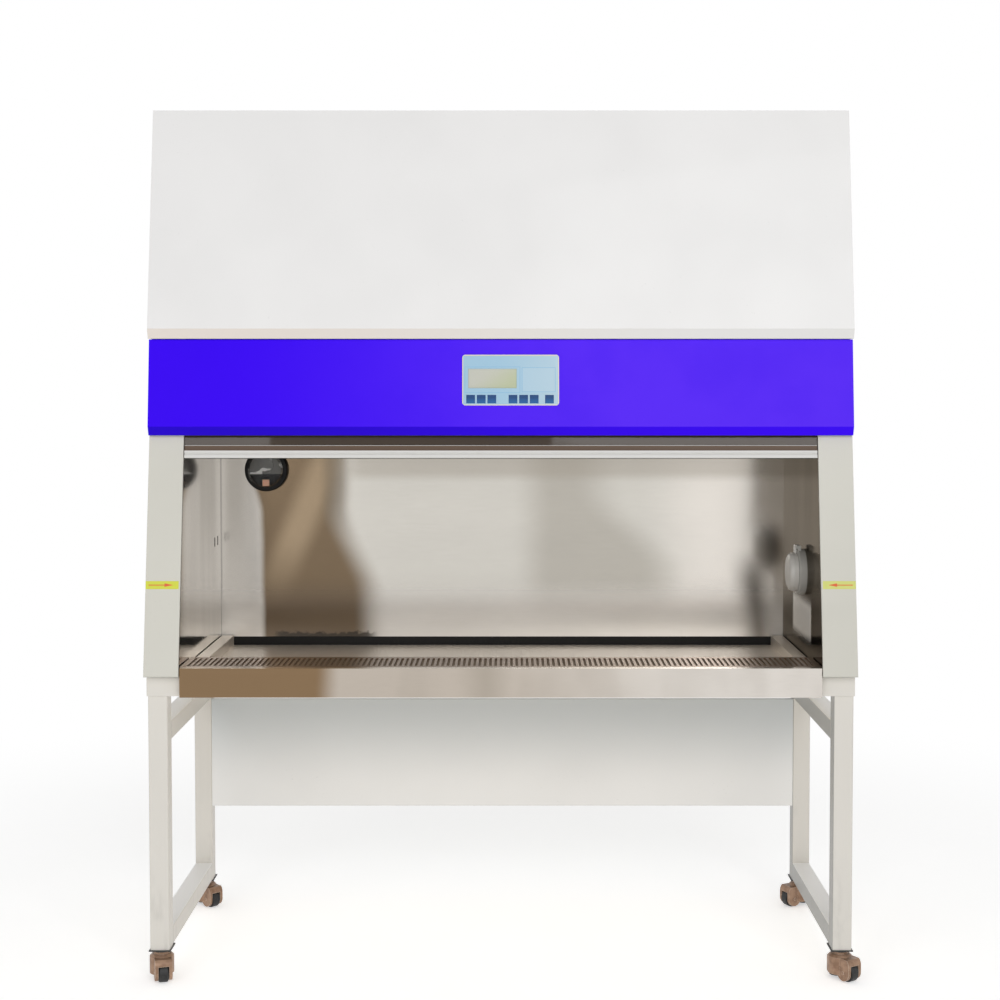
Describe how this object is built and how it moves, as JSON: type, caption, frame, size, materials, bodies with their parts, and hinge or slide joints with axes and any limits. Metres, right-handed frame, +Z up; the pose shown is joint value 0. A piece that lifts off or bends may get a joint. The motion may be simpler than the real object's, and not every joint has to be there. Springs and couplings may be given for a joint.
{
  "type": "biosafety cabinet",
  "caption": "Wide biosafety cabinet with sloping sash, stainless work chamber and blue control fascia on an open castored stand.",
  "frame": {"origin": "on the floor under the middle of the cabinet's outline", "axes": "+Z up, +X to the operator's right, +Y to the rear; the sash and controls face -Y"},
  "size_m": [1.8231, 0.76, 2.231],
  "materials": {
    "white_enamel": "fine textured white powder coat",
    "frame_enamel": "warm grey-white powder coat",
    "blue_enamel": "saturated blue powder coat",
    "overlay_film": "pale blue printed polyester film",
    "circuit_board": "circuit board with a display module",
    "key_film": "deep blue embossed key caps",
    "stainless": "satin stainless steel",
    "filter_frame": "aluminium frame round pleated media",
    "zinc_sheet": "galvanised sheet",
    "impeller_metal": "pressed aluminium",
    "lamp_glass": "white lamp glass",
    "white_plastic": "moulded lamp holders",
    "sash_glass": "laminated safety glass",
    "satin_aluminium": "satin anodised",
    "steel_cable": "stranded steel cable",
    "pulley_plastic": "nylon",
    "weight_iron": "dark cast bar",
    "socket_black": "black moulding",
    "lid_clear": "clear smoked lid",
    "caster_bronze": "bronze coated casting",
    "wheel_black": "black nylon",
    "foot_rubber": "black rubber"
  },
  "bodies": {
    "cabinet": {"side_panel_right": "white_enamel", "side_panel_left": "white_enamel", "roof_panel": "white_enamel", "rear_panel": "white_enamel", "hood_front_panel": "white_enamel", "base_frame": "frame_enamel", "stand_frame": "frame_enamel", "stand_rear_panel": "frame_enamel", "control_fascia": "blue_enamel", "control_overlay": "overlay_film", "display_board": "circuit_board", "chamber_back_wall": "stainless", "chamber_side_walls": "stainless", "drain_pan": "stainless", "front_air_grille": "stainless", "work_tray": "stainless", "supply_diffuser": "stainless", "supply_filter": "filter_frame", "exhaust_filter": "filter_frame", "fan_plenum": "zinc_sheet", "blower_housing": "zinc_sheet", "pulley_brackets": "zinc_sheet", "exhaust_guard": "zinc_sheet", "fluorescent_lamp": "lamp_glass", "uv_lamp": "lamp_glass", "lamp_holders": "white_plastic", "sash_tracks": "satin_aluminium", "sash_cables": "steel_cable", "socket_base_back": "socket_black", "socket_base_side": "socket_black", "power_inlet": "socket_black", "caster_mounts": "socket_black"},
    "sash": {"sash_glass": "sash_glass", "sash_rail_and_hangers": "satin_aluminium"},
    "counterweight_right": {"counterweight_right": "weight_iron"},
    "counterweight_left": {"counterweight_left": "weight_iron"},
    "sash_pulley_right": {"sash_pulley_right": "pulley_plastic"},
    "sash_pulley_left": {"sash_pulley_left": "pulley_plastic"},
    "impeller": {"blower_impeller": "impeller_metal"},
    "socket_lid_back": {"socket_lid_back": "lid_clear"},
    "socket_lid_side": {"socket_lid_side": "lid_clear"},
    "key_1": {"membrane_key_1": "key_film"},
    "key_2": {"membrane_key_2": "key_film"},
    "key_3": {"membrane_key_3": "key_film"},
    "key_4": {"membrane_key_4": "key_film"},
    "key_5": {"membrane_key_5": "key_film"},
    "key_6": {"membrane_key_6": "key_film"},
    "key_7": {"membrane_key_7": "key_film"},
    "caster_front_left": {"caster_housing_front_left": "caster_bronze"},
    "wheel_front_left": {"caster_wheel_front_left": "wheel_black"},
    "foot_front_left": {"caster_foot_front_left": "foot_rubber"},
    "caster_front_right": {"caster_housing_front_right": "caster_bronze"},
    "wheel_front_right": {"caster_wheel_front_right": "wheel_black"},
    "foot_front_right": {"caster_foot_front_right": "foot_rubber"},
    "caster_rear_left": {"caster_housing_rear_left": "caster_bronze"},
    "wheel_rear_left": {"caster_wheel_rear_left": "wheel_black"},
    "foot_rear_left": {"caster_foot_rear_left": "foot_rubber"},
    "caster_rear_right": {"caster_housing_rear_right": "caster_bronze"},
    "wheel_rear_right": {"caster_wheel_rear_right": "wheel_black"},
    "foot_rear_right": {"caster_foot_rear_right": "foot_rubber"}
  },
  "joints": [
    {"name": "sash_slide", "type": "slide", "parent": "cabinet", "child": "sash", "axis": [0, -0.1639, -0.9865], "range_m": [-0.03, 0.532], "deforming": ["sash_cables"]},
    {"name": "counterweight_right_slide", "type": "slide", "parent": "cabinet", "child": "counterweight_right", "axis": [0, 0, 1], "range_m": [-0.031, 0.533]},
    {"name": "sash_pulley_right_turn", "type": "hinge", "parent": "cabinet", "child": "sash_pulley_right", "pos_m": [0.84, -0.11506, 2.13076], "axis": [1, 0, 0], "range_deg": [-60, 1030]},
    {"name": "counterweight_left_slide", "type": "slide", "parent": "cabinet", "child": "counterweight_left", "axis": [0, 0, 1], "range_m": [-0.031, 0.533]},
    {"name": "sash_pulley_left_turn", "type": "hinge", "parent": "cabinet", "child": "sash_pulley_left", "pos_m": [-0.84, -0.11506, 2.13076], "axis": [1, 0, 0], "range_deg": [-60, 1030]},
    {"name": "key_1_press", "type": "slide", "parent": "cabinet", "child": "key_1", "axis": [0, 0.9932, -0.1163], "range_m": [0, 0.0005], "stiffness_N_per_m": 900},
    {"name": "key_2_press", "type": "slide", "parent": "cabinet", "child": "key_2", "axis": [0, 0.9932, -0.1163], "range_m": [0, 0.0005], "stiffness_N_per_m": 900},
    {"name": "key_3_press", "type": "slide", "parent": "cabinet", "child": "key_3", "axis": [0, 0.9932, -0.1163], "range_m": [0, 0.0005], "stiffness_N_per_m": 900},
    {"name": "key_4_press", "type": "slide", "parent": "cabinet", "child": "key_4", "axis": [0, 0.9932, -0.1163], "range_m": [0, 0.0005], "stiffness_N_per_m": 900},
    {"name": "key_5_press", "type": "slide", "parent": "cabinet", "child": "key_5", "axis": [0, 0.9932, -0.1163], "range_m": [0, 0.0005], "stiffness_N_per_m": 900},
    {"name": "key_6_press", "type": "slide", "parent": "cabinet", "child": "key_6", "axis": [0, 0.9932, -0.1163], "range_m": [0, 0.0005], "stiffness_N_per_m": 900},
    {"name": "key_7_press", "type": "slide", "parent": "cabinet", "child": "key_7", "axis": [0, 0.9932, -0.1163], "range_m": [0, 0.0005], "stiffness_N_per_m": 900},
    {"name": "impeller_spin", "type": "hinge", "parent": "cabinet", "child": "impeller", "pos_m": [0, 0.26, 1.73], "axis": [0, 1, 0], "continuous": true},
    {"name": "socket_lid_back_hinge", "type": "hinge", "parent": "cabinet", "child": "socket_lid_back", "pos_m": [-0.684, 0.282, 1.345], "axis": [-1, 0, 0], "range_deg": [0, 95]},
    {"name": "socket_lid_side_hinge", "type": "hinge", "parent": "cabinet", "child": "socket_lid_side", "pos_m": [0.797, -0.044, 1.085], "axis": [0, 1, 0], "range_deg": [0, 95]},
    {"name": "caster_front_left_swivel", "type": "hinge", "parent": "cabinet", "child": "caster_front_left", "pos_m": [-0.871, -0.321, 0.07], "axis": [0, 0, 1], "continuous": true},
    {"name": "wheel_front_left_roll", "type": "hinge", "parent": "caster_front_left", "child": "wheel_front_left", "pos_m": [-0.86164, -0.3516, 0.025], "axis": [0.9563, 0.2924, 0], "continuous": true},
    {"name": "foot_front_left_screw", "type": "slide", "parent": "caster_front_left", "child": "foot_front_left", "axis": [0, 0, -1], "range_m": [0, 0.01]},
    {"name": "caster_front_right_swivel", "type": "hinge", "parent": "cabinet", "child": "caster_front_right", "pos_m": [0.871, -0.321, 0.07], "axis": [0, 0, 1], "continuous": true},
    {"name": "wheel_front_right_roll", "type": "hinge", "parent": "caster_front_right", "child": "wheel_front_right", "pos_m": [0.88889, -0.34753, 0.025], "axis": [0.829, 0.5592, 0], "continuous": true},
    {"name": "foot_front_right_screw", "type": "slide", "parent": "caster_front_right", "child": "foot_front_right", "axis": [0, 0, -1], "range_m": [0, 0.01]},
    {"name": "caster_rear_left_swivel", "type": "hinge", "parent": "cabinet", "child": "caster_rear_left", "pos_m": [-0.871, 0.303, 0.07], "axis": [0, 0, 1], "continuous": true},
    {"name": "wheel_rear_left_roll", "type": "hinge", "parent": "caster_rear_left", "child": "wheel_rear_left", "pos_m": [-0.84837, 0.28037, 0.025], "axis": [0.7071, 0.7071, 0], "continuous": true},
    {"name": "foot_rear_left_screw", "type": "slide", "parent": "caster_rear_left", "child": "foot_rear_left", "axis": [0, 0, -1], "range_m": [0, 0.01]},
    {"name": "caster_rear_right_swivel", "type": "hinge", "parent": "cabinet", "child": "caster_rear_right", "pos_m": [0.871, 0.303, 0.07], "axis": [0, 0, 1], "continuous": true},
    {"name": "wheel_rear_right_roll", "type": "hinge", "parent": "caster_rear_right", "child": "wheel_rear_right", "pos_m": [0.84275, 0.28798, 0.025], "axis": [0.4695, -0.8829, 0], "continuous": true},
    {"name": "foot_rear_right_screw", "type": "slide", "parent": "caster_rear_right", "child": "foot_rear_right", "axis": [0, 0, -1], "range_m": [0, 0.01]}
  ],
  "couplings": [
    {"joint": "counterweight_right_slide", "follows": "sash_slide", "ratio": 1},
    {"joint": "sash_pulley_right_turn", "follows": "sash_slide", "rad_per_m": 33.333},
    {"joint": "counterweight_left_slide", "follows": "sash_slide", "ratio": 1},
    {"joint": "sash_pulley_left_turn", "follows": "sash_slide", "rad_per_m": 33.333}
  ]
}
